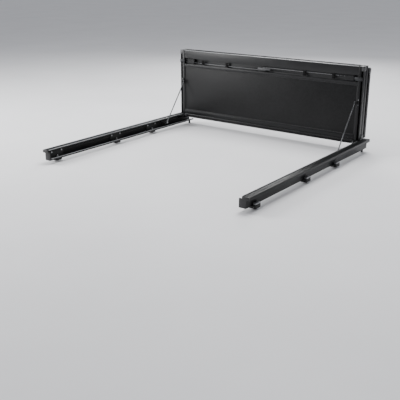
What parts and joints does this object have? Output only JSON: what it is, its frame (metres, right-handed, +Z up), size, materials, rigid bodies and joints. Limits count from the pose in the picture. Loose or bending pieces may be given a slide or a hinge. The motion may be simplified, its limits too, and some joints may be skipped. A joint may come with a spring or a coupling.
{
  "type": "folding hard tonneau cover",
  "caption": "Three-panel folding hard cover for a pickup bed, folded and stood up on its clamp-on rails, with latches, release cables and prop rods.",
  "frame": {"origin": "middle of the header's foam seat, straight below the lift hinge's axis", "axes": "+Z up, +Y towards the cab, +X to the truck's right-hand side"},
  "size_m": [1.544, 1.483, 0.5845],
  "materials": {
    "rail_black": "black powder coat",
    "panel_skin": "fine grained composite skin",
    "bar_grey": "dark grey anodised",
    "seal_rubber": "matt EPDM",
    "foam": "closed cell foam",
    "black_plastic": "moulded, fine grain",
    "zinc_steel": "zinc plated",
    "rod_steel": "satin",
    "clamp_alloy": "black coated casting",
    "cable_sheath": "grey cable jacket"
  },
  "bodies": {
    "frame": {"left_side_rail": "rail_black", "right_side_rail": "rail_black", "header_rail": "rail_black", "rail_top_seals": "seal_rubber", "foam_strips": "foam", "header_bumpers": "seal_rubber", "corner_brackets": "clamp_alloy", "fasteners": "zinc_steel", "clamp_hangers": "clamp_alloy", "clamp_bodies": "clamp_alloy", "clamp_jaws": "zinc_steel", "rail_end_caps": "black_plastic", "drain_nipples": "black_plastic", "lift_hinge_pin": "zinc_steel", "rod_brackets": "clamp_alloy", "rod_pivot_pins": "zinc_steel"},
    "front_panel": {"front_board": "panel_skin", "front_hinge_bar": "rail_black", "front_latch_bar": "bar_grey", "front_left_frame": "rail_black", "front_right_frame": "rail_black", "front_latch_housings": "clamp_alloy", "front_cable_clips": "black_plastic", "rod_keepers": "clamp_alloy"},
    "middle_panel": {"middle_board": "panel_skin", "middle_hinge_bar": "rail_black", "middle_latch_bar": "bar_grey", "middle_left_frame": "rail_black", "middle_right_frame": "rail_black", "middle_latch_housings": "clamp_alloy", "middle_cable_clips": "black_plastic", "fold_hinge_pin": "zinc_steel"},
    "rear_panel": {"rear_board": "panel_skin", "rear_hinge_bar": "rail_black", "rear_latch_bar": "bar_grey", "rear_left_frame": "rail_black", "rear_right_frame": "rail_black", "rear_latch_housings": "clamp_alloy", "rear_cable_clips": "black_plastic", "rear_hinge_pin": "zinc_steel", "tail_seal": "seal_rubber"},
    "left_rod": {"left_prop_rod": "rod_steel"},
    "right_rod": {"right_prop_rod": "rod_steel"},
    "front_left_bolt": {"front_left_latch": "zinc_steel", "front_left_cable": "cable_sheath"},
    "front_right_bolt": {"front_right_latch": "zinc_steel", "front_right_cable": "cable_sheath"},
    "front_lever": {"front_release_lever": "black_plastic"},
    "middle_left_bolt": {"middle_left_latch": "zinc_steel", "middle_left_cable": "cable_sheath"},
    "middle_right_bolt": {"middle_right_latch": "zinc_steel", "middle_right_cable": "cable_sheath"},
    "middle_lever": {"middle_release_lever": "black_plastic"},
    "rear_left_bolt": {"rear_left_latch": "zinc_steel", "rear_left_cable": "cable_sheath"},
    "rear_right_bolt": {"rear_right_latch": "zinc_steel", "rear_right_cable": "cable_sheath"},
    "rear_lever": {"rear_release_lever": "black_plastic"}
  },
  "joints": [
    {"name": "cover_lift", "type": "hinge", "parent": "frame", "child": "front_panel", "pos_m": [0, 0, 0.021], "axis": [1, 0, 0], "range_deg": [0, 90]},
    {"name": "panel_fold", "type": "hinge", "parent": "front_panel", "child": "middle_panel", "pos_m": [0, 0.032, 0.509], "axis": [1, 0, 0], "range_deg": [0, 180]},
    {"name": "rear_fold", "type": "hinge", "parent": "middle_panel", "child": "rear_panel", "pos_m": [0, 0.073, 0.025], "axis": [1, 0, 0], "range_deg": [-180, 0]},
    {"name": "left_rod_swing", "type": "hinge", "parent": "frame", "child": "left_rod", "pos_m": [-0.7, -0.225, -0.007], "axis": [1, 0, 0], "range_deg": [0, 127.07]},
    {"name": "right_rod_swing", "type": "hinge", "parent": "frame", "child": "right_rod", "pos_m": [0.7, -0.225, -0.007], "axis": [1, 0, 0], "range_deg": [0, 127.07]},
    {"name": "front_left_slide", "type": "slide", "parent": "front_panel", "child": "front_left_bolt", "axis": [1, 0, 0], "range_m": [0, 0.014], "stiffness_N_per_m": 150},
    {"name": "front_right_slide", "type": "slide", "parent": "front_panel", "child": "front_right_bolt", "axis": [-1, 0, 0], "range_m": [0, 0.014]},
    {"name": "front_release", "type": "hinge", "parent": "front_panel", "child": "front_lever", "pos_m": [0, 0.008, 0.427], "axis": [0, -1, 0], "range_deg": [0, 89.2]},
    {"name": "middle_left_slide", "type": "slide", "parent": "middle_panel", "child": "middle_left_bolt", "axis": [1, 0, 0], "range_m": [0, 0.014], "stiffness_N_per_m": 150},
    {"name": "middle_right_slide", "type": "slide", "parent": "middle_panel", "child": "middle_right_bolt", "axis": [-1, 0, 0], "range_m": [0, 0.014]},
    {"name": "middle_release", "type": "hinge", "parent": "middle_panel", "child": "middle_lever", "pos_m": [0, 0.056, 0.107], "axis": [0, 1, 0], "range_deg": [0, 89.2]},
    {"name": "rear_left_slide", "type": "slide", "parent": "rear_panel", "child": "rear_left_bolt", "axis": [1, 0, 0], "range_m": [0, 0.014], "stiffness_N_per_m": 150},
    {"name": "rear_right_slide", "type": "slide", "parent": "rear_panel", "child": "rear_right_bolt", "axis": [-1, 0, 0], "range_m": [0, 0.014]},
    {"name": "rear_release", "type": "hinge", "parent": "rear_panel", "child": "rear_lever", "pos_m": [0, 0.09, 0.405], "axis": [0, -1, 0], "range_deg": [0, 89.2]}
  ],
  "couplings": [
    {"joint": "rear_fold", "follows": "panel_fold", "ratio": -1},
    {"joint": "left_rod_swing", "follows": "cover_lift", "ratio": 1.4118},
    {"joint": "right_rod_swing", "follows": "cover_lift", "ratio": 1.4118},
    {"joint": "front_right_slide", "follows": "front_left_slide", "ratio": 1},
    {"joint": "front_release", "follows": "front_left_slide", "rad_per_m": 111.11},
    {"joint": "middle_right_slide", "follows": "middle_left_slide", "ratio": 1},
    {"joint": "middle_release", "follows": "middle_left_slide", "rad_per_m": 111.11},
    {"joint": "rear_right_slide", "follows": "rear_left_slide", "ratio": 1},
    {"joint": "rear_release", "follows": "rear_left_slide", "rad_per_m": 111.11}
  ]
}
